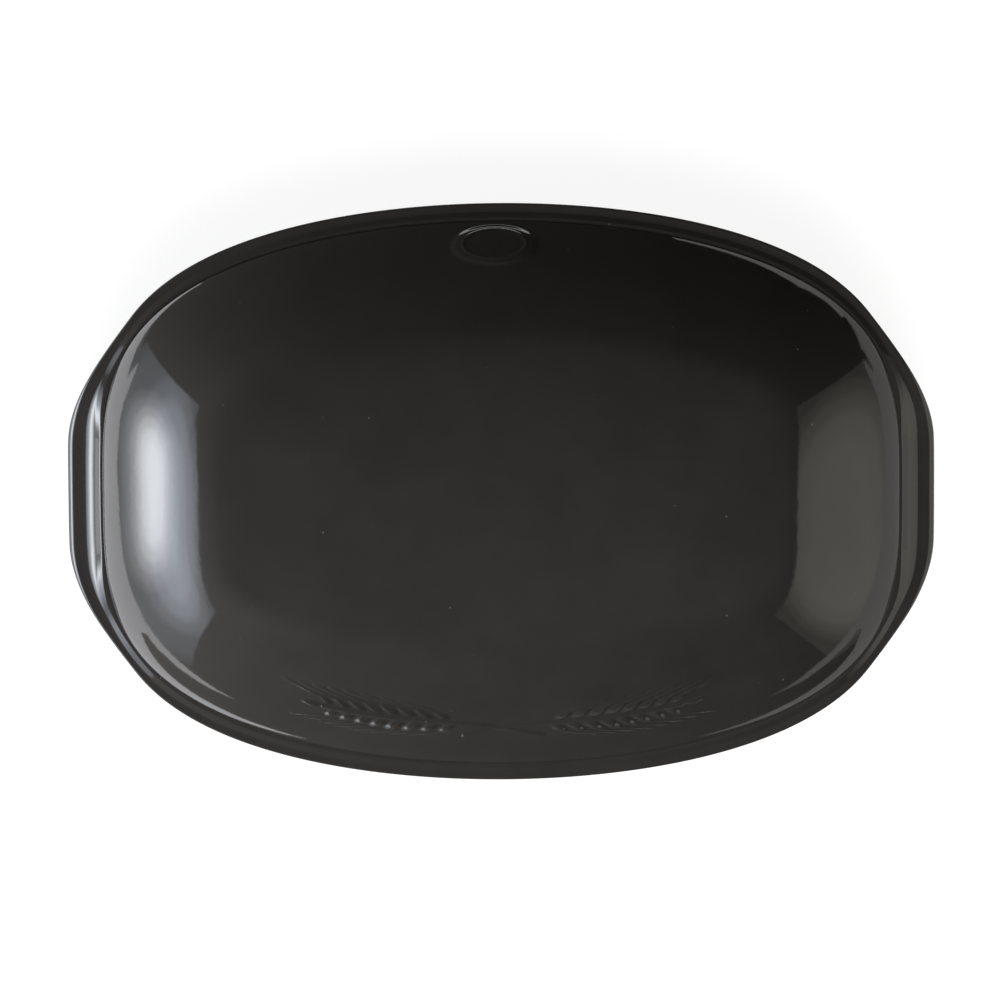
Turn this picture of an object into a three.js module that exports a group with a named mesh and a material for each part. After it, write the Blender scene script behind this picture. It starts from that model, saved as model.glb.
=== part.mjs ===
// Ceramic bread baker: an oval dish with an ear at each end, and a domed lid that seats inside its rim.
// Millimetres, +Z up. The origin is under the middle of the foot, and X runs from ear to ear.
import * as THREE from 'three';

// Overall size with the lid on
const LENGTH = 340;
const WIDTH = 226;
const HEIGHT = 120;

// How square the ovals (x / a)^2 + (y / b)^power = 1 are: the rim's outer edge, and the seat and the lid
const RIM_POWER = 3.9;
const LID_POWER = 3.35;

// Rim of the dish: a narrow crest round the seat, a slope down from it, and a land that sags to a rounded lip
const RIM_HEIGHT = 56;
const RIM_WIDTH = 7.2;
const RIM_DEPTH = 15;
const RIM_DROP = 3.3;
const RIM_FILLET = 1.2;
const RIM_LIP = 2.2;
const RIM_SAG = 0.4;
const CREST_ROUND = 0.5;
const CREST_SHOULDER = 0.3;
const CREST_SLOPE = 1.28;

// Ears: the rim drawn out at both ends, with a deeper and wider land
const EAR_WIDTH = 14.9;
const EAR_REACH = 12.4;
const EAR_TIP_LENGTH = 40;
const EAR_ROOT_LENGTH = 140;
const EAR_DROP = 6.9;
const EAR_FILLET = 4.5;
const EAR_LIP = 3.5;
const EAR_SAG = 2.3;

// Seat for the lid: a ledge inside the rim. The dome's edge reaches further out than the wall below it.
const SEAT_DEPTH = 7;
const LID_CLEARANCE = 1;
const DOME_CLEARANCE = 0.4;

// Body of the dish
const DISH_WALL = 7;
const DISH_FLOOR = 7;
const WALL_SETBACK = 2.7;
const BELLY_SETBACK = 5.5;
const BELLY_HEIGHT = 12;
const FOOT_SETBACK = 30;
const FOOT_WIDTH = 8;
const FOOT_RECESS = 2.5;
const FLOOR_FILLET = 10;
const SOFT_EDGE = 1.5;

// Lid: a straight edge that drops into the rim, and a dome that springs from it
const LID_WALL = 6.5;
const LID_CROWN = 7;
const LID_EDGE_HEIGHT = 8;
const DOME_ROUNDNESS = 2.2;
const DOME_STEEPNESS = 1.1;

// Fineness of the facets
const STATIONS = 88;
const CURVE_STEPS = 4;
const DOME_STEPS = 12;

// Sizes that follow from the ones above
const SEAT_HALF_LENGTH = LENGTH / 2 - EAR_WIDTH;
const SEAT_HALF_WIDTH = WIDTH / 2 - RIM_WIDTH;
const RIM_HALF_LENGTH = LENGTH / 2 - EAR_REACH;
const SEAT_HEIGHT = RIM_HEIGHT - SEAT_DEPTH;
const FLOOR_HEIGHT = FOOT_RECESS + DISH_FLOOR;
const SPRINGING = SEAT_HEIGHT + LID_EDGE_HEIGHT;

const glaze = new THREE.MeshStandardMaterial({
  color: 0x2e2c2a,
  roughness: 0.12,
  metalness: 0,
});

const turns = Array.from({ length: STATIONS }, (_, station) => (2 * Math.PI * station) / STATIONS);

// Point of an oval at one turn from +X
function ovalPoint(turn, halfLength, halfWidth, power) {
  const across = Math.sin(turn);
  const along = Math.sign(Math.cos(turn)) * Math.sqrt(1 - Math.abs(across) ** power);
  return new THREE.Vector2(halfLength * along, halfWidth * across);
}

function seatPoint(turn, offset) {
  return ovalPoint(turn, SEAT_HALF_LENGTH + offset, SEAT_HALF_WIDTH + offset, LID_POWER);
}

function flatRing(halfLength, halfWidth, height) {
  return turns.map((turn) => {
    const point = ovalPoint(turn, halfLength, halfWidth, LID_POWER);
    return new THREE.Vector3(point.x, point.y, height);
  });
}

function seatRing({ x: offset, y: height }) {
  return flatRing(SEAT_HALF_LENGTH + offset, SEAT_HALF_WIDTH + offset, height);
}

// Point on the outer edge of the rim, and how far it belongs to an ear: 0 on the plain rim, 1 at a tip
function rimEdge(turn) {
  const point = ovalPoint(turn, RIM_HALF_LENGTH, WIDTH / 2, RIM_POWER);
  const ear = 1 - THREE.MathUtils.smoothstep(Math.abs(point.y), EAR_TIP_LENGTH / 2, EAR_ROOT_LENGTH / 2);
  point.x += Math.sign(point.x) * EAR_REACH * ear;
  return { point, ear };
}

// Section of the rim, as share of its width from the seat's edge and height: up its outer edge, over the land
// and the slope to the crest, and down to the seat's edge
function rimSection(width, drop, fillet, lip, sag) {
  const wallTop = RIM_HEIGHT - RIM_DEPTH;
  const down = new THREE.Vector2(1, -CREST_SLOPE).normalize();
  const slopeTop = new THREE.Vector2(CREST_ROUND + CREST_SHOULDER, RIM_HEIGHT);
  const slopeFoot = new THREE.Vector2(slopeTop.x + drop / CREST_SLOPE, RIM_HEIGHT - drop);
  const lipCorner = new THREE.Vector2(width, slopeFoot.y - sag);
  const out = lipCorner.clone().sub(slopeFoot).normalize();
  const lipStart = lipCorner.clone().addScaledVector(out, -lip);
  const filletOuter = slopeFoot.clone().addScaledVector(out, fillet);
  const filletInner = slopeFoot.clone().addScaledVector(down, -fillet);
  const shoulder = slopeTop.clone().addScaledVector(down, CREST_SHOULDER);
  const section = new THREE.Path();
  section.moveTo(0, wallTop);
  section.quadraticCurveTo(width, wallTop, width, lipCorner.y - lip);
  section.quadraticCurveTo(lipCorner.x, lipCorner.y, lipStart.x, lipStart.y);
  section.lineTo(filletOuter.x, filletOuter.y);
  section.quadraticCurveTo(slopeFoot.x, slopeFoot.y, filletInner.x, filletInner.y);
  section.lineTo(shoulder.x, shoulder.y);
  section.quadraticCurveTo(slopeTop.x, slopeTop.y, CREST_ROUND, RIM_HEIGHT);
  section.quadraticCurveTo(0, RIM_HEIGHT, 0, RIM_HEIGHT - CREST_ROUND);
  return section.getPoints(CURVE_STEPS).map((point) => new THREE.Vector2(point.x / width, point.y));
}

// Rings of the rim: its plain section turns into the ear's section towards the ends
function rimRings() {
  const plainSection = rimSection(RIM_WIDTH, RIM_DROP, RIM_FILLET, RIM_LIP, RIM_SAG);
  const earSection = rimSection(EAR_WIDTH, EAR_DROP, EAR_FILLET, EAR_LIP, EAR_SAG);
  return plainSection.map((plain, step) =>
    turns.map((turn) => {
      const { point, ear } = rimEdge(turn);
      const local = plain.clone().lerp(earSection[step], ear);
      const across = seatPoint(turn, 0).lerp(point, local.x);
      return new THREE.Vector3(across.x, across.y, local.y);
    }),
  );
}

// Ring of a dome that springs from an oval, at a share of the way from its edge to its middle. The long way
// rounds off later than the short way, so that the shoulder has one width all round.
function domeRing(halfLength, halfWidth, springing, apex, share) {
  const left = 1 - share;
  const lift = (1 - left ** DOME_ROUNDNESS) ** (1 / DOME_STEEPNESS);
  const height = springing + (apex - springing) * lift;
  return flatRing(halfLength * left ** (halfWidth / halfLength), halfWidth * left, height);
}

// Closed solid through a stack of rings, from one end point on the axis to the other
function loft(rings, startHeight, endHeight) {
  const points = [new THREE.Vector3(0, 0, startHeight), ...rings.flat(), new THREE.Vector3(0, 0, endHeight)];
  const last = points.length - 1;
  const at = (ring, station) => 1 + ring * STATIONS + (station % STATIONS);
  const triangles = [];
  for (let station = 0; station < STATIONS; station += 1) {
    triangles.push(0, at(0, station + 1), at(0, station));
    for (let ring = 0; ring < rings.length - 1; ring += 1) {
      const lower = at(ring, station);
      const lowerNext = at(ring, station + 1);
      const upper = at(ring + 1, station);
      const upperNext = at(ring + 1, station + 1);
      triangles.push(lower, lowerNext, upperNext, lower, upperNext, upper);
    }
    triangles.push(last, at(rings.length - 1, station), at(rings.length - 1, station + 1));
  }
  const geometry = new THREE.BufferGeometry().setFromPoints(points);
  geometry.setIndex(triangles);
  geometry.computeVertexNormals();
  return geometry;
}

// Outside of the dish below the rim, as offset from the seat's edge and height: under the foot and up the wall
function outsideSection() {
  const footOuter = -FOOT_SETBACK;
  const footInner = footOuter - FOOT_WIDTH;
  const section = new THREE.Path();
  section.moveTo(footInner - FOOT_RECESS, FOOT_RECESS);
  section.lineTo(footInner, 0);
  section.lineTo(footOuter - SOFT_EDGE, 0);
  section.quadraticCurveTo(footOuter, 0, footOuter + SOFT_EDGE, SOFT_EDGE);
  section.quadraticCurveTo(-WALL_SETBACK - BELLY_SETBACK, BELLY_HEIGHT, -WALL_SETBACK, RIM_HEIGHT - RIM_DEPTH);
  return section.getPoints(CURVE_STEPS);
}

// Inside of the dish below the rim: across the seat, and down to the floor
function insideSection() {
  const innerWall = -WALL_SETBACK - DISH_WALL;
  const section = new THREE.Path();
  section.moveTo(0, SEAT_HEIGHT);
  section.lineTo(innerWall + SOFT_EDGE, SEAT_HEIGHT);
  section.quadraticCurveTo(innerWall, SEAT_HEIGHT, innerWall, SEAT_HEIGHT - SOFT_EDGE);
  section.quadraticCurveTo(
    innerWall - BELLY_SETBACK,
    BELLY_HEIGHT,
    -FOOT_SETBACK - FLOOR_FILLET,
    FLOOR_HEIGHT,
  );
  return section.getPoints(CURVE_STEPS);
}

function makeDish() {
  const rings = [...outsideSection().map(seatRing), ...rimRings(), ...insideSection().map(seatRing)];
  const dish = new THREE.Mesh(loft(rings, FOOT_RECESS, FLOOR_HEIGHT), glaze);
  dish.name = 'base_dish';
  return dish;
}

// Section of the lid's edge, as offset from the seat's edge and height: from its inner wall round the flat
// that rests on the seat, and up its outer wall to the dome's edge
function lidEdgeSection() {
  const outer = -LID_CLEARANCE;
  const inner = -DOME_CLEARANCE - LID_WALL;
  const section = new THREE.Path();
  section.moveTo(inner, SPRINGING);
  section.lineTo(inner, SEAT_HEIGHT + SOFT_EDGE);
  section.quadraticCurveTo(inner, SEAT_HEIGHT, inner + SOFT_EDGE, SEAT_HEIGHT);
  section.lineTo(outer - SOFT_EDGE, SEAT_HEIGHT);
  section.quadraticCurveTo(outer, SEAT_HEIGHT, outer, SEAT_HEIGHT + SOFT_EDGE);
  section.lineTo(outer, SPRINGING - SOFT_EDGE);
  section.quadraticCurveTo(outer, SPRINGING, -DOME_CLEARANCE, SPRINGING);
  return section.getPoints(CURVE_STEPS);
}

function makeLid() {
  const halfLength = SEAT_HALF_LENGTH - DOME_CLEARANCE;
  const halfWidth = SEAT_HALF_WIDTH - DOME_CLEARANCE;
  const innerApex = HEIGHT - LID_CROWN;
  const shares = Array.from({ length: DOME_STEPS - 1 }, (_, step) => (step + 1) / DOME_STEPS);
  const inside = shares.map((share) =>
    domeRing(halfLength - LID_WALL, halfWidth - LID_WALL, SPRINGING, innerApex, share),
  );
  const outside = shares.map((share) => domeRing(halfLength, halfWidth, SPRINGING, HEIGHT, share));
  const rings = [...inside.reverse(), ...lidEdgeSection().map(seatRing), ...outside];
  const lid = new THREE.Mesh(loft(rings, innerApex, HEIGHT), glaze);
  lid.name = 'lid_dome';
  return lid;
}

const baker = new THREE.Group();
baker.add(makeDish(), makeLid());

export default baker;
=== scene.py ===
# Ceramic bread baker: a glazed oval dish with an ear at each end, and a domed lid that lifts off.
# Metres, +Z up. The front long side faces -Y.
import math

import bpy
import numpy as np
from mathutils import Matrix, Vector


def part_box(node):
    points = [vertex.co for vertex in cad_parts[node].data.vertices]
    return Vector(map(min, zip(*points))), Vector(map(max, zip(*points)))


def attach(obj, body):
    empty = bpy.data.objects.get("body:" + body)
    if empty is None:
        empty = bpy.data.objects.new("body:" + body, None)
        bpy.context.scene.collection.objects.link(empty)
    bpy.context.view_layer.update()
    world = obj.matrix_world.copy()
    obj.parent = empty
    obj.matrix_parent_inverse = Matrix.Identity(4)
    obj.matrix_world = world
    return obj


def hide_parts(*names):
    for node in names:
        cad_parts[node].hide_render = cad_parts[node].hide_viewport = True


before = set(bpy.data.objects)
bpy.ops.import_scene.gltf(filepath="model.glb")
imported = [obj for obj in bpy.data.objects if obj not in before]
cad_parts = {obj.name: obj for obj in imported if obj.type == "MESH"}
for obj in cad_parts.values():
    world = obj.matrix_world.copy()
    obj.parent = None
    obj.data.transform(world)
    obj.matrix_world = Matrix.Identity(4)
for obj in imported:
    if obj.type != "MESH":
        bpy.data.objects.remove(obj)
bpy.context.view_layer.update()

MM = 0.001

# Overall sizes, taken from the solids
DISH_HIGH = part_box("base_dish")[1]
LID_LOW, LID_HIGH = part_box("lid_dome")
HALF_LENGTH = DISH_HIGH.x
HALF_WIDTH = DISH_HIGH.y
RIM_HEIGHT = DISH_HIGH.z
SEAT_HEIGHT = LID_LOW.z
HEIGHT = LID_HIGH.z

# How square the ovals (x / a)^2 + (y / b)^power = 1 are: the rim's outer edge, the seat and the lid
RIM_POWER = 3.7
LID_POWER = 3.35

# Rim of the dish: a crest round the seat, a slope down from it, and a land that sags to its lip
RIM_WIDTH = 7.2 * MM
RIM_DEPTH = 15 * MM
RIM_DROP = 2.4 * MM
RIM_SLOPE = 0.75
RIM_FILLET = 1.2 * MM
RIM_LIP = 1.4 * MM
RIM_SAG = 0.4 * MM
CREST_ROUND = 0.3 * MM
CREST_SHOULDER = 0.9 * MM

# Ears: the rim drawn out at both ends, with a deeper and wider land
EAR_WIDTH = 14.9 * MM
EAR_REACH = 12.4 * MM
EAR_TIP_LENGTH = 40 * MM
EAR_ROOT_LENGTH = 140 * MM
EAR_LAND_LENGTH = 100 * MM
EAR_DROP = 6.5 * MM
EAR_SLOPE = 1.28
EAR_FILLET = 4.8 * MM
EAR_LIP = 3.7 * MM
EAR_SAG = 2.3 * MM

# Seat inside the rim, and the lid's edge, which just laps the crest
LID_CLEARANCE = 1 * MM
DOME_CLEARANCE = 0.4 * MM
LID_LAP = 0.25 * MM
SEAT_HALF_LENGTH = LID_HIGH.x + DOME_CLEARANCE
SEAT_HALF_WIDTH = LID_HIGH.y + DOME_CLEARANCE
LID_HALF_LENGTH = SEAT_HALF_LENGTH + LID_LAP
LID_HALF_WIDTH = SEAT_HALF_WIDTH + LID_LAP

# Body of the dish
DISH_WALL = 7 * MM
DISH_FLOOR = 7 * MM
WALL_SETBACK = 2.7 * MM
WALL_TOP = RIM_HEIGHT - RIM_DEPTH
BELLY_SETBACK = 5.5 * MM
BELLY_HEIGHT = 12 * MM
FOOT_SETBACK = 30 * MM
FOOT_WIDTH = 8 * MM
FOOT_RECESS = 2.5 * MM
RECESS_BORDER = 7.5 * MM
FLOOR_FILLET = 10 * MM
FLOOR_HEIGHT = FOOT_RECESS + DISH_FLOOR
SOFT_EDGE = 1.5 * MM

# Lid: a straight edge that drops into the rim, and a dome that springs from it
LID_WALL = 6.5 * MM
LID_CROWN = 7 * MM
LID_EDGE_HEIGHT = 8 * MM
SPRINGING = SEAT_HEIGHT + LID_EDGE_HEIGHT
DOME_ROUNDNESS = 2.2
DOME_STEEPNESS = 1.1

# Two ears of wheat along the lid's front, in relief. A rise is measured up the dome from its edge.
WHEAT_RISE = 31 * MM
WHEAT_START = 18 * MM
GRAIN_PAIRS = 8
GRAIN_PITCH = 6.4 * MM
GRAIN_STAGGER = 1.6 * MM
GRAIN_SPREAD = 0.9 * MM
GRAIN_LENGTH = 13 * MM
GRAIN_WIDTH = 4.8 * MM
GRAIN_HEIGHT = 1.7 * MM
GRAIN_POINT = 0.3
GRAIN_ANGLE = math.radians(38)
GRAIN_TAPER = 0.5
FULLEST_PLACE = 0.4
CROWN_SIZE = 0.8
CROWN_REACH = GRAIN_LENGTH / 3
AWN_ROOT = 0.8
AWN_LENGTH = 13 * MM
AWN_SLANT = 0.3
AWN_WIDTH = 2.2 * MM
AWN_HEIGHT = 0.6 * MM
AWN_FADE = 0.6
STEM_WIDTH = 2.8 * MM
STEM_HEIGHT = 1.1 * MM
STEM_END = -15 * MM
STEM_BEND = 8 * MM

# Plain oval medallion on the lid's back
MEDALLION_RISE = 15.5 * MM
MEDALLION_PLACE = -2 * MM
MEDALLION_HALF_LENGTH = 18 * MM
MEDALLION_HALF_HEIGHT = 13 * MM
MEDALLION_EDGE = 3.6 * MM
MEDALLION_HEIGHT = 0.6 * MM
BORDER_INSET = 5 * MM
BORDER_WIDTH = 2 * MM
BORDER_HEIGHT = 0.3 * MM

# Fineness of the meshes
DISH_STATIONS = 640
LID_STATIONS = 1200
TURN_SAMPLES = 8001
LINE_STEPS = 5
BARE_STEPS = 8
CURVE_STEPS = 10
RIM_CURVE_STEPS = 16
WALL_STEPS = 32
INNER_DOME_STEPS = 24
INNER_DOME_CROWDING = 1.5
PROFILE_SAMPLES = 4001
RELIEF_STEP = 0.5 * MM
RELIEF_TOP = 50 * MM
DOME_STEP = 3 * MM
SHARP_ANGLE = math.radians(50)

# Where the lid's stations stand closer for the relief: middle turn, half span, and how much closer
FRONT_PACKING = (1.5 * math.pi, 0.5, 4.5)
BACK_PACKING = (0.5 * math.pi, 0.14, 3.4)
PACKING_FADE = 1.3

# Glaze and clay: linear colours, features in a metre, and the values at which the patterns start and end
GLAZE_DARK = (0.0195, 0.0182, 0.017)
GLAZE_LIGHT = (0.0253, 0.0233, 0.0213)
SPECK_COLOUR = (0.2, 0.19, 0.175)
THIN_GLAZE = (0.075, 0.055, 0.04)
CLAY_DARK = (0.33, 0.24, 0.16)
CLAY_LIGHT = (0.47, 0.36, 0.26)
CLOUD_SCALE = 38
SPECK_SCALE = 210
SAND_SCALE = 900
PEEL_SCALE = 260
NOISE_LOW = 0.3
NOISE_HIGH = 0.7
SPECK_CORE = 0.05
SPECK_REACH = 0.11
SPECK_RARE = 0.83
SPECK_FULL = 0.9
SPECK_STRENGTH = 0.4
THIN_FROM = 0.45
THIN_SHARE = 0.18
GLAZE_SMOOTHEST = 0.05
GLAZE_ROUGHEST = 0.075
CLAY_ROUGHNESS = 0.85
GLAZE_IOR = 1.75
PEEL_STRENGTH = 0.04
PEEL_DEPTH = 0.4 * MM

# Studio: the floor lies just under the foot, and the cards just over the floor
FLOOR_TOP = -0.1 * MM
CARD_TOP = 1 * MM
WHITE = (1, 1, 1)


def smoothstep(value, low, high):
    share = np.clip((value - low) / (high - low), 0, 1)
    return share * share * (3 - 2 * share)


def station_turns(count, packings=()):
    """Turns from +X round an oval, one for each station. Stations stand closer in each packing."""
    fine = np.linspace(0, 2 * np.pi, TURN_SAMPLES)
    weight = np.ones_like(fine)
    for middle, half_span, factor in packings:
        outside = smoothstep(np.abs(fine - middle), half_span, PACKING_FADE * half_span)
        weight += (factor - 1) * (1 - outside)
    reach = np.concatenate([[0], np.cumsum((weight[1:] + weight[:-1]) / 2)])
    return np.interp(np.arange(count) * reach[-1] / count, reach, fine)


def oval(turns, half_length, half_width, power):
    """Points of an oval, one for each turn."""
    across = np.sin(turns)
    along = np.sign(np.cos(turns)) * np.sqrt(1 - np.abs(across) ** power)
    return np.stack([half_length * along, half_width * across], axis=-1)


def dome_lift(left):
    """Share of the dome's height at the ring that has this share of its width left."""
    return (1 - left**DOME_ROUNDNESS) ** (1 / DOME_STEEPNESS)


class Section:
    """A drawn section: offset from the seat's edge, height and share of bare clay at each point."""

    def __init__(self, offset, height):
        self.points = [(offset, height)]
        self.bare = [0]

    def curve(self, *controls, steps=CURVE_STEPS, bare=0):
        """Goes on along a Bezier curve through its control points to the last of them."""
        start = self.points[-1]
        for step in range(1, steps + 1):
            share = step / steps
            points = [np.array(point) for point in (start, *controls)]
            while len(points) > 1:
                points = [(1 - share) * a + share * b for a, b in zip(points, points[1:])]
            self.points.append(tuple(points[0]))
            self.bare.append(bare)

    def line(self, offset, height, steps=LINE_STEPS, bare=0):
        self.curve((offset, height), steps=steps, bare=bare)


class Shell:
    """A closed shell, lofted through a stack of rings that all have the same stations."""

    def __init__(self, turns):
        self.turns = turns
        self.rings = []
        self.bare = []
        self.raised = []

    def add(self, points, height, bare=0):
        heights = np.broadcast_to(height, len(self.turns))
        self.rings.append(np.column_stack([points, heights]))
        self.bare.append(bare)
        self.raised.append(np.zeros(len(self.turns)))

    def emboss(self, first, relief, full_height):
        """Lifts the rings from the first on along their normals by a height for each point."""
        grid = np.array(self.rings[first:])
        along = np.roll(grid, -1, axis=1) - np.roll(grid, 1, axis=1)
        upward = np.gradient(grid, axis=0)
        normals = np.cross(along, upward)
        normals /= np.linalg.norm(normals, axis=2, keepdims=True)
        self.rings[first:] = list(grid + relief[:, :, None] * normals)
        self.raised[first:] = list(relief / full_height)

    def seat_oval(self, offset):
        return oval(self.turns, SEAT_HALF_LENGTH + offset, SEAT_HALF_WIDTH + offset, LID_POWER)

    def add_section(self, section):
        for (offset, height), bare in zip(section.points, section.bare):
            self.add(self.seat_oval(offset), height, bare)

    def add_dome(self, half_length, half_width, springing, apex, shares):
        """Rings from a dome's edge inwards. The long way rounds off later than the short way."""
        for share in shares:
            left = 1 - share
            left_along = left ** (half_width / half_length)
            ring = oval(self.turns, half_length * left_along, half_width * left, LID_POWER)
            self.add(ring, springing + (apex - springing) * dome_lift(left))

    def build(self, name, start_height, end_height):
        """Mesh object through the rings, closed at both ends by a point on the axis."""
        count = len(self.turns)
        vertices = np.vstack([[(0, 0, start_height)], *self.rings, [(0, 0, end_height)]])
        last = len(vertices) - 1
        neighbours = [(station, (station + 1) % count) for station in range(count)]
        faces = [(0, 1 + b, 1 + a) for a, b in neighbours]
        for ring in range(len(self.rings) - 1):
            lower = 1 + ring * count
            upper = lower + count
            faces += [(lower + a, lower + b, upper + b, upper + a) for a, b in neighbours]
        top = 1 + (len(self.rings) - 1) * count
        faces += [(last, top + a, top + b) for a, b in neighbours]
        mesh = bpy.data.meshes.new(name)
        mesh.from_pydata(vertices.tolist(), [], faces)
        mesh.shade_smooth()
        mesh.set_sharp_from_angle(angle=SHARP_ANGLE)
        marks = {
            "bare_clay": np.repeat(self.bare, count),
            "raised": np.concatenate(self.raised),
        }
        for label, ring_values in marks.items():
            values = np.concatenate([[0], ring_values, [0]]).astype(np.float32)
            attribute = mesh.attributes.new(label, "FLOAT", "POINT")
            attribute.data.foreach_set("value", values)
        piece = bpy.data.objects.new(name, mesh)
        bpy.context.collection.objects.link(piece)
        return piece


def rim_section(width, drop, slope, fillet, lip, sag):
    """Offsets from the seat's edge and heights, up the rim's outer edge and over its crest."""
    down = Vector((1, -slope)).normalized()
    slope_top = Vector((CREST_ROUND + CREST_SHOULDER, RIM_HEIGHT))
    slope_foot = Vector((slope_top.x + drop / slope, RIM_HEIGHT - drop))
    lip_corner = Vector((width, slope_foot.y - sag))
    out = (lip_corner - slope_foot).normalized()
    section = Section(0, WALL_TOP)
    section.curve((width, WALL_TOP), (width, lip_corner.y - lip), steps=RIM_CURVE_STEPS)
    section.curve(lip_corner, lip_corner - lip * out, steps=RIM_CURVE_STEPS)
    section.line(*(slope_foot + fillet * out))
    section.curve(slope_foot, slope_foot - fillet * down, steps=RIM_CURVE_STEPS)
    section.line(*(slope_top + CREST_SHOULDER * down))
    section.curve(slope_top, (CREST_ROUND, RIM_HEIGHT))
    section.curve((0, RIM_HEIGHT), (0, RIM_HEIGHT - CREST_ROUND))
    return np.array(section.points)


def add_rim(shell):
    """Rings of the rim. At both ends it is drawn out, and its section turns into the ear's."""
    edge = oval(shell.turns, HALF_LENGTH - EAR_REACH, HALF_WIDTH, RIM_POWER)
    aside = np.abs(edge[:, 1])
    drawn_out = 1 - smoothstep(aside, EAR_TIP_LENGTH / 2, EAR_ROOT_LENGTH / 2)
    sunk = 1 - smoothstep(aside, EAR_TIP_LENGTH / 2, EAR_LAND_LENGTH / 2)
    edge[:, 0] += np.sign(edge[:, 0]) * EAR_REACH * drawn_out
    seat = shell.seat_oval(0)
    plain_section = rim_section(RIM_WIDTH, RIM_DROP, RIM_SLOPE, RIM_FILLET, RIM_LIP, RIM_SAG)
    ear_section = rim_section(EAR_WIDTH, EAR_DROP, EAR_SLOPE, EAR_FILLET, EAR_LIP, EAR_SAG)
    plain_shares = plain_section / (RIM_WIDTH, 1)
    ear_shares = ear_section / (EAR_WIDTH, 1)
    for plain, ear in zip(plain_shares, ear_shares):
        share, height = plain[:, None] + (ear - plain)[:, None] * sunk
        shell.add(seat + (edge - seat) * share[:, None], height)


def make_dish():
    """From under the foot up the outside, over the rim, and down the inside to the floor."""
    shell = Shell(station_turns(DISH_STATIONS))
    foot_outer = -FOOT_SETBACK
    foot_inner = foot_outer - FOOT_WIDTH
    recess_edge = foot_inner - FOOT_RECESS
    outside = Section(recess_edge - RECESS_BORDER, FOOT_RECESS)
    outside.line(recess_edge, FOOT_RECESS)
    outside.line(foot_inner, 0)
    outside.line(foot_outer - SOFT_EDGE, 0, steps=BARE_STEPS, bare=1)
    outside.curve((foot_outer, 0), (foot_outer + SOFT_EDGE, SOFT_EDGE))
    outside.curve(
        (-WALL_SETBACK - BELLY_SETBACK, BELLY_HEIGHT),
        (-WALL_SETBACK, WALL_TOP),
        steps=WALL_STEPS,
    )
    shell.add_section(outside)
    add_rim(shell)
    inner_wall = -WALL_SETBACK - DISH_WALL
    inside = Section(0, SEAT_HEIGHT)
    inside.line(inner_wall + SOFT_EDGE, SEAT_HEIGHT)
    inside.curve((inner_wall, SEAT_HEIGHT), (inner_wall, SEAT_HEIGHT - SOFT_EDGE))
    inside.curve(
        (inner_wall - BELLY_SETBACK, BELLY_HEIGHT),
        (-FOOT_SETBACK - FLOOR_FILLET, FLOOR_HEIGHT),
        steps=WALL_STEPS,
    )
    shell.add_section(inside)
    return shell.build("glazed_dish", FOOT_RECESS, FLOOR_HEIGHT)


def swell(distance):
    """Rounded section of a raised stroke, from 1 in its middle to 0 at a distance of 1."""
    return (1 + np.cos(np.pi * np.clip(distance, 0, 1))) / 2


def awn(x, rise, root, side):
    """Raised bristle that grows out of a grain's tip and thins out."""
    path = Vector((1, side * AWN_SLANT)).normalized()
    along = (x - root.x) * path.x + (rise - root.y) * path.y
    across = (rise - root.y) * path.x - (x - root.x) * path.y
    beyond = np.maximum(np.maximum(-along, along - AWN_LENGTH), 0)
    fade = 1 - AWN_FADE * np.clip(along / AWN_LENGTH, 0, 1)
    return AWN_HEIGHT * fade * swell(np.hypot(across, beyond) / (AWN_WIDTH / 2))


def grain(x, rise, middle, angle, size):
    """Raised grain, drawn to a point at its outer end."""
    along = (x - middle.x) * math.cos(angle) + (rise - middle.y) * math.sin(angle)
    across = (rise - middle.y) * math.cos(angle) - (x - middle.x) * math.sin(angle)
    along = along / (size * GRAIN_LENGTH / 2)
    half_width = size * GRAIN_WIDTH / 2 * (1 - GRAIN_POINT * np.clip(along, -1, 1))
    return GRAIN_HEIGHT * size * swell(np.hypot(along, across / half_width))


def wheat_relief(x, rise):
    """One ear of wheat on a bent stem, which points along +X, as a height at each point."""
    wheat_end = WHEAT_START + GRAIN_PAIRS * GRAIN_PITCH
    bend = STEM_BEND * (np.minimum(x - WHEAT_START, 0) / (WHEAT_START - STEM_END)) ** 2
    beyond = np.maximum(np.maximum(STEM_END - x, x - wheat_end), 0)
    from_stem = np.hypot(rise + bend - WHEAT_RISE, beyond)
    relief = STEM_HEIGHT * swell(from_stem / (STEM_WIDTH / 2))
    for pair in range(GRAIN_PAIRS):
        size = 1 - GRAIN_TAPER * abs(pair / (GRAIN_PAIRS - 1) - FULLEST_PLACE)
        for side in (-1, 1):
            angle = side * GRAIN_ANGLE
            reach = size * GRAIN_LENGTH / 2 * Vector((math.cos(angle), math.sin(angle)))
            root_x = WHEAT_START + pair * GRAIN_PITCH + max(side, 0) * GRAIN_STAGGER
            middle = Vector((root_x, WHEAT_RISE + side * GRAIN_SPREAD)) + reach
            relief = np.maximum(relief, awn(x, rise, middle + AWN_ROOT * reach, side))
            relief = np.maximum(relief, grain(x, rise, middle, angle, size))
    crown = Vector((wheat_end + CROWN_REACH, WHEAT_RISE))
    return np.maximum(relief, grain(x, rise, crown, 0, CROWN_SIZE))


def medallion_relief(x, rise):
    """Plain oval boss with a soft edge, and a fine border on its face."""
    distance = np.hypot(
        (x - MEDALLION_PLACE) / MEDALLION_HALF_LENGTH,
        (rise - MEDALLION_RISE) / MEDALLION_HALF_HEIGHT,
    )
    inset = (1 - distance) * (MEDALLION_HALF_LENGTH + MEDALLION_HALF_HEIGHT) / 2
    border = BORDER_HEIGHT * swell(np.abs(inset - BORDER_INSET) / (BORDER_WIDTH / 2))
    return MEDALLION_HEIGHT * smoothstep(inset, 0, MEDALLION_EDGE) + border


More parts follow.
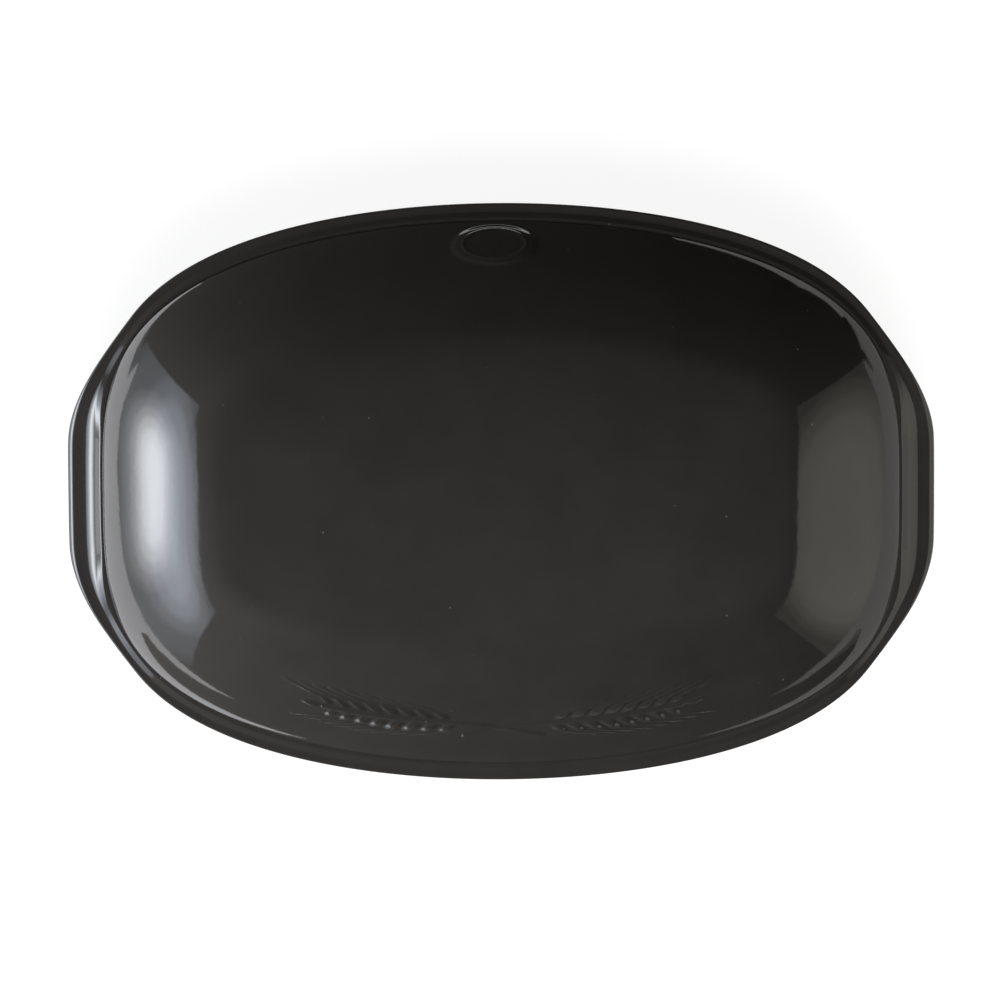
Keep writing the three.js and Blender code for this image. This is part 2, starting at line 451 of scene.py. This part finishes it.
def add_outer_dome(shell):
    """Rings of the lid's outside, close together where the relief is, and the relief on them."""
    first = len(shell.rings)
    fine = np.linspace(0, 1, PROFILE_SAMPLES)
    lift = (HEIGHT - SPRINGING) * dome_lift(1 - fine)
    profile = np.stack([LID_HALF_WIDTH * (1 - fine), lift], axis=1)
    rises = np.concatenate([[0], np.cumsum(np.hypot(*np.diff(profile, axis=0).T))])
    relief_rises = np.arange(RELIEF_STEP / 2, RELIEF_TOP, RELIEF_STEP)
    upper_rises = np.arange(RELIEF_TOP, rises[-1] - DOME_STEP / 4, DOME_STEP)
    ring_rises = np.concatenate([relief_rises, upper_rises])
    shares = np.interp(ring_rises, rises, fine)
    shell.add_dome(LID_HALF_LENGTH, LID_HALF_WIDTH, SPRINGING, HEIGHT, shares)
    grid = np.array(shell.rings[first:])
    x = grid[:, :, 0]
    at_front = grid[:, :, 1] < 0
    rise = np.broadcast_to(ring_rises[:, None], x.shape)
    wheat = np.maximum(wheat_relief(x, rise), wheat_relief(-x, rise))
    shell.emboss(first, np.where(at_front, wheat, medallion_relief(x, rise)), GRAIN_HEIGHT)


def make_lid():
    """From the top of the hollow down the inside, round the edge, and up the outside."""
    shell = Shell(station_turns(LID_STATIONS, (FRONT_PACKING, BACK_PACKING)))
    inner_apex = HEIGHT - LID_CROWN
    inner_shares = (np.arange(INNER_DOME_STEPS - 1) + 1) / INNER_DOME_STEPS
    shell.add_dome(
        LID_HALF_LENGTH - LID_WALL,
        LID_HALF_WIDTH - LID_WALL,
        SPRINGING,
        inner_apex,
        inner_shares[::-1] ** INNER_DOME_CROWDING,
    )
    outer = -LID_CLEARANCE
    inner = LID_LAP - LID_WALL
    edge = Section(inner, SPRINGING)
    edge.line(inner, SEAT_HEIGHT + SOFT_EDGE)
    edge.curve((inner, SEAT_HEIGHT), (inner + SOFT_EDGE, SEAT_HEIGHT))
    edge.line(outer - SOFT_EDGE, SEAT_HEIGHT, steps=BARE_STEPS, bare=1)
    edge.curve((outer, SEAT_HEIGHT), (outer, SEAT_HEIGHT + SOFT_EDGE))
    edge.line(outer, SPRINGING - SOFT_EDGE)
    edge.curve((outer, SPRINGING), (0, SPRINGING))
    edge.line(LID_LAP, SPRINGING)
    shell.add_section(edge)
    add_outer_dome(shell)
    return shell.build("glazed_lid", inner_apex, HEIGHT)


def add_node(tree, kind, inputs=None, **settings):
    """New shader node with its settings, and its inputs set to values or linked from sockets."""
    made = tree.nodes.new("ShaderNode" + kind)
    for name, value in settings.items():
        setattr(made, name, value)
    for name, value in (inputs or {}).items():
        if isinstance(value, bpy.types.NodeSocket):
            tree.links.new(value, made.inputs[name])
        else:
            made.inputs[name].default_value = value
    return made


def add_ramp(tree, factor, stops, interpolation="LINEAR"):
    """Colour ramp over a factor, with its stops as (position, colour)."""
    ramp = add_node(tree, "ValToRGB", {"Fac": factor})
    ramp.color_ramp.interpolation = interpolation
    elements = ramp.color_ramp.elements
    while len(elements) < len(stops):
        elements.new(0.5)
    for element, (position, colour) in zip(elements, stops):
        element.position = position
        element.color = rgba(colour)
    return ramp.outputs["Color"]


def add_mix(tree, factor, first, second):
    """Mix of two colours. The sockets go by number, because several share a name."""
    inputs = {0: factor, 6: first, 7: second}
    return add_node(tree, "Mix", inputs, data_type="RGBA").outputs[2]


def new_tree(owner):
    owner.use_nodes = True
    owner.node_tree.nodes.clear()
    return owner.node_tree


def grey(value):
    return (value, value, value)


def rgba(colour):
    return (*colour, 1)


def tinted(stops, tint):
    """Stops of a colour ramp, from stops that have one value each."""
    return [(position, tuple(value * share for share in tint)) for position, value in stops]


def make_glaze():
    """Gloss charcoal glaze, slightly mottled and specked, with bare clay where it was wiped off."""
    material = bpy.data.materials.new("charcoal_glaze")
    tree = new_tree(material)
    place = add_node(tree, "TexCoord").outputs["Object"]

    # Mottled glaze with pale specks, browner where it runs thin over the relief
    cloud_inputs = {"Vector": place, "Scale": CLOUD_SCALE, "Detail": 5, "Roughness": 0.6}
    cloud = add_node(tree, "TexNoise", cloud_inputs).outputs["Fac"]
    mottled = add_ramp(tree, cloud, [(NOISE_LOW, GLAZE_DARK), (NOISE_HIGH, GLAZE_LIGHT)])
    cells = add_node(tree, "TexVoronoi", {"Vector": place, "Scale": SPECK_SCALE})
    dot_stops = [(SPECK_CORE, grey(1)), (SPECK_REACH, grey(0))]
    dots = add_ramp(tree, cells.outputs["Distance"], dot_stops)
    chosen_stops = [(SPECK_RARE, grey(0)), (SPECK_FULL, grey(SPECK_STRENGTH))]
    chosen = add_ramp(tree, cells.outputs["Color"], chosen_stops)
    specks = add_node(tree, "Math", {0: dots, 1: chosen}, operation="MULTIPLY").outputs["Value"]
    specked = add_mix(tree, specks, mottled, rgba(SPECK_COLOUR))
    raised = add_node(tree, "Attribute", attribute_name="raised").outputs["Fac"]
    thin = add_ramp(tree, raised, [(THIN_FROM, grey(0)), (1, grey(THIN_SHARE))])
    glaze = add_mix(tree, thin, specked, rgba(THIN_GLAZE))

    # Sandy clay where the glaze is wiped off
    sand_inputs = {"Vector": place, "Scale": SAND_SCALE, "Detail": 4, "Roughness": 0.7}
    sand = add_node(tree, "TexNoise", sand_inputs).outputs["Fac"]
    clay = add_ramp(tree, sand, [(NOISE_LOW, CLAY_DARK), (NOISE_HIGH, CLAY_LIGHT)])
    bare = add_node(tree, "Attribute", attribute_name="bare_clay").outputs["Fac"]
    colour = add_mix(tree, bare, glaze, clay)

    # Gloss, and the faint peel of a fired glaze
    gloss_stops = [(NOISE_LOW, grey(GLAZE_SMOOTHEST)), (NOISE_HIGH, grey(GLAZE_ROUGHEST))]
    gloss = add_ramp(tree, cloud, gloss_stops)
    roughness = add_mix(tree, bare, gloss, rgba(grey(CLAY_ROUGHNESS)))
    peel = add_node(tree, "TexNoise", {"Vector": place, "Scale": PEEL_SCALE, "Detail": 2})
    bump = add_node(
        tree,
        "Bump",
        {"Height": peel.outputs["Fac"], "Strength": PEEL_STRENGTH, "Distance": PEEL_DEPTH},
    )
    surface = add_node(
        tree,
        "BsdfPrincipled",
        {
            "Base Color": colour,
            "Roughness": roughness,
            "IOR": GLAZE_IOR,
            "Normal": bump.outputs["Normal"],
        },
    )
    add_node(tree, "OutputMaterial", {"Surface": surface.outputs["BSDF"]})
    return material


def make_floor_material():
    """White to the eye, with a soft shadow, and a middling grey to the light."""
    lit_grey = 0.5
    shaded_grey = 0.23
    glow_strength = 0.9
    material = bpy.data.materials.new("pale_floor")
    tree = new_tree(material)
    seen = add_node(tree, "LightPath").outputs["Is Camera Ray"]
    lit = add_node(tree, "BsdfDiffuse", {"Color": rgba(grey(lit_grey))})
    shaded = add_node(tree, "BsdfDiffuse", {"Color": rgba(grey(shaded_grey))})
    glow = add_node(tree, "Emission", {"Color": rgba(WHITE), "Strength": glow_strength})
    white = add_node(tree, "AddShader", {0: shaded.outputs["BSDF"], 1: glow.outputs["Emission"]})
    shown = add_node(
        tree,
        "MixShader",
        {0: seen, 1: lit.outputs["BSDF"], 2: white.outputs["Shader"]},
    )
    add_node(tree, "OutputMaterial", {"Surface": shown.outputs["Shader"]})
    return material


def make_floor():
    """Pale board in the middle of a table top. Only the board is mirrored."""
    half_length = 0.335
    board_half_width = 0.165
    table_half_width = 0.4
    strips = (
        ("board", -board_half_width, board_half_width),
        ("front_table", -table_half_width, -board_half_width),
        ("back_table", board_half_width, table_half_width),
    )
    material = make_floor_material()
    for name, near, far in strips:
        corners = [
            (-half_length, near, FLOOR_TOP),
            (half_length, near, FLOOR_TOP),
            (half_length, far, FLOOR_TOP),
            (-half_length, far, FLOOR_TOP),
        ]
        mesh = bpy.data.meshes.new(name)
        mesh.from_pydata(corners, [], [(0, 1, 2, 3)])
        mesh.materials.append(material)
        floor = bpy.data.objects.new(name, mesh)
        floor.visible_glossy = name == "board"
        bpy.context.collection.objects.link(floor)


def make_world():
    """White to the eye. To the light and the reflections a dim studio, brighter to the left."""
    wall_stops = (
        (0, 0),
        (0.25, 0.006),
        (0.37, 0.03),
        (0.5, 0.076),
        (0.63, 0.14),
        (0.75, 0.24),
        (0.93, 0.38),
    )
    wall_tint = (1, 0.97, 0.94)
    ceiling_stops = ((0, 0.055), (0.5, 0.105), (1, 0.155))
    ceiling_tint = (1, 0.985, 0.97)
    wall_top = 0.34
    ceiling_edge = 0.54
    back_share = 0.6
    front_share = 1.3

    world = bpy.data.worlds.new("studio")
    bpy.context.scene.world = world
    tree = new_tree(world)
    direction = add_node(tree, "TexCoord").outputs["Generated"]
    parts = add_node(tree, "SeparateXYZ", {"Vector": direction}).outputs
    leftward = add_node(
        tree,
        "MapRange",
        {"Value": parts["X"], "From Min": 1, "From Max": -1},
    ).outputs["Result"]
    frontward = add_node(
        tree,
        "MapRange",
        {
            "Value": parts["Y"],
            "From Min": 1,
            "From Max": -1,
            "To Min": back_share,
            "To Max": front_share,
        },
    ).outputs["Result"]
    up = add_node(
        tree,
        "MapRange",
        {"Value": parts["Z"], "From Min": wall_top, "From Max": ceiling_edge},
        interpolation_type="SMOOTHSTEP",
    ).outputs["Result"]
    walls = add_ramp(tree, leftward, tinted(wall_stops, wall_tint))
    walls = add_node(tree, "VectorMath", {0: walls, "Scale": frontward}, operation="SCALE")
    ceiling = add_ramp(tree, leftward, tinted(ceiling_stops, ceiling_tint))
    studio = add_mix(tree, up, walls.outputs["Vector"], ceiling)
    seen = add_node(tree, "LightPath").outputs["Is Camera Ray"]
    colour = add_mix(tree, seen, studio, rgba(WHITE))
    background = add_node(tree, "Background", {"Color": colour, "Strength": 1})
    add_node(tree, "OutputWorld", {"Surface": background.outputs["Background"]})


def add_panel(name, place, aim, size, radiance=1, mirrored=True):
    """Flat lamp, width by height, that shines from its place towards its aim."""
    lamp = bpy.data.lights.new(name, "AREA")
    lamp.shape = "RECTANGLE"
    lamp.size, lamp.size_y = size
    lamp.energy = math.pi * radiance * size[0] * size[1]
    panel = bpy.data.objects.new(name, lamp)
    panel.location = place
    panel.rotation_euler = (Vector(aim) - Vector(place)).to_track_quat("-Z", "Y").to_euler()
    panel.visible_camera = False
    panel.visible_glossy = mirrored
    bpy.context.collection.objects.link(panel)
    return lamp


def add_glow(lamp, spots):
    """Gives a panel spots on its face: each has a centre, a reach, a colour and a fall."""
    tree = new_tree(lamp)
    face = add_node(tree, "NewGeometry").outputs["Parametric"]
    shine = (0, 0, 0)
    for centre, reach, colour, fall in spots:
        offset = add_node(
            tree,
            "Mapping",
            {"Vector": face, "Location": (*centre, 0), "Scale": (*reach, 1)},
            vector_type="TEXTURE",
        )
        distance = add_node(tree, "VectorMath", {0: offset.outputs["Vector"]}, operation="LENGTH")
        share = add_ramp(tree, distance.outputs["Value"], tinted(fall, WHITE), "EASE")
        spot = add_node(
            tree,
            "VectorMath",
            {0: share, 1: colour, 2: shine},
            operation="MULTIPLY_ADD",
        )
        shine = spot.outputs["Vector"]
    emission = add_node(tree, "Emission", {"Color": shine, "Strength": 1})
    add_node(tree, "OutputLight", {"Surface": emission.outputs["Emission"]})


def make_key():
    """Panel on the left, tilted up a little: a hot spot in a broad, cooler glow."""
    place = Vector((-0.719, -0.162, 0.137))
    facing = Vector((0.894, 0, 0.447))
    hot_centre = (0.358, 0.383)
    hot_reach = (0.24, 0.36)
    hot_colour = (5.7, 5.8, 6)
    hot_fall = (
        (0, 1),
        (0.15, 0.99),
        (0.3, 0.83),
        (0.45, 0.53),
        (0.6, 0.28),
        (0.75, 0.12),
        (0.9, 0.045),
        (1, 0),
    )
    broad_centre = (0.485, 0.634)
    broad_reach = (0.92, 0.71)
    broad_colour = (2.95, 3.27, 3.75)
    broad_fall = (
        (0, 1),
        (0.2, 0.8),
        (0.35, 0.58),
        (0.5, 0.31),
        (0.65, 0.16),
        (0.8, 0.14),
        (1, 0.07),
    )
    key = add_panel("key_panel", place, place + facing, size=(1.075, 0.52))
    hot = (hot_centre, hot_reach, hot_colour, hot_fall)
    broad = (broad_centre, broad_reach, broad_colour, broad_fall)
    add_glow(key, (hot, broad))


def make_side():
    """Dim, warm panel on the right."""
    place = Vector((0.75, -0.22, 0.08))
    facing = Vector((-1, 0, 0))
    centre = (0.52, 0.58)
    reach = (0.48, 0.7)
    colour = (0.66, 0.63, 0.56)
    fall = ((0, 1), (0.4, 0.98), (0.6, 0.85), (0.75, 0.58), (0.9, 0.35), (1, 0.2))
    side = add_panel("side_panel", place, place + facing, size=(1.1, 0.6))
    add_glow(side, ((centre, reach, colour, fall),))


def add_card(name, corners, radiance, colour):
    """Flat card that shines up from the floor, drawn through its corners in millimetres."""
    mesh = bpy.data.meshes.new(name)
    mesh.from_pydata([(x * MM, y * MM, CARD_TOP) for x, y in corners], [], [range(len(corners))])
    material = bpy.data.materials.new(name)
    tree = new_tree(material)
    glow = add_node(tree, "Emission", {"Color": rgba(colour), "Strength": radiance})
    add_node(tree, "OutputMaterial", {"Surface": glow.outputs["Emission"]})
    mesh.materials.append(material)
    card = bpy.data.objects.new(name, mesh)
    card.visible_camera = False
    card.visible_diffuse = False
    card.visible_shadow = False
    bpy.context.collection.objects.link(card)


def make_cards():
    """Bright parts of the floor, which the steep edge of the lid mirrors at its ends and its back."""
    cool = (0.97, 0.97, 1)
    warm = (1, 0.97, 0.95)
    right_end = (
        (150, 135),
        (172, 168),
        (235, 160),
        (300, 140),
        (345, 112),
        (385, 170),
        (405, 150),
        (395, 100),
        (370, 75),
        (332, 0),
        (375, -75),
        (410, -160),
        (378, -258),
        (300, -292),
        (192, -272),
        (290, -228),
        (328, -185),
        (300, -158),
        (235, -166),
        (160, -183),
        (100, -190),
        (150, -158),
        (235, -75),
        (240, 75),
    )
    left_end = [(-x, y) for x, y in right_end]
    back = ((-60, 150), (60, 150), (60, 188), (-60, 188))
    back_right_corner = (
        (172, 168),
        (78, 160),
        (96, 204),
        (150, 206),
        (205, 214),
        (222, 186),
        (258, 180),
        (235, 160),
    )
    add_card("left_card", left_end, radiance=1.95, colour=cool)
    add_card("right_card", right_end[::-1], radiance=0.46, colour=warm)
    add_card("back_card", back, radiance=1, colour=WHITE)
    add_card("corner_card", back_right_corner, radiance=0.6, colour=warm)


def make_lamps():
    make_key()
    make_side()
    add_panel(
        "fill_panel",
        place=(0, -0.95, 1.5),
        aim=(0, 0, 0),
        size=(1.3, 1.3),
        radiance=6.7,
        mirrored=False,
    )
    make_cards()


def make_camera():
    """Looks almost straight down, from a little behind."""
    tilt = math.radians(4.5)
    roll = math.radians(0.33)
    target = Vector((0.25, -3.5, 44)) * MM
    distance = 1.712
    view_width = 0.3927
    sensor = 36
    camera = bpy.data.cameras.new("camera")
    camera.sensor_width = sensor
    camera.lens = sensor * distance / view_width
    viewer = bpy.data.objects.new("camera", camera)
    viewer.location = target + distance * Vector((0, math.sin(tilt), math.cos(tilt)))
    viewer.rotation_euler = (-tilt, 0, -roll)
    bpy.context.collection.objects.link(viewer)
    bpy.context.scene.camera = viewer


glaze = make_glaze()
for piece, node, body in ((make_dish(), "base_dish", "dish"), (make_lid(), "lid_dome", "lid")):
    piece.data.materials.append(glaze)
    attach(piece, body)
    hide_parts(node)

make_floor()
make_world()
make_lamps()
make_camera()
bpy.context.scene.view_settings.view_transform = "Standard"
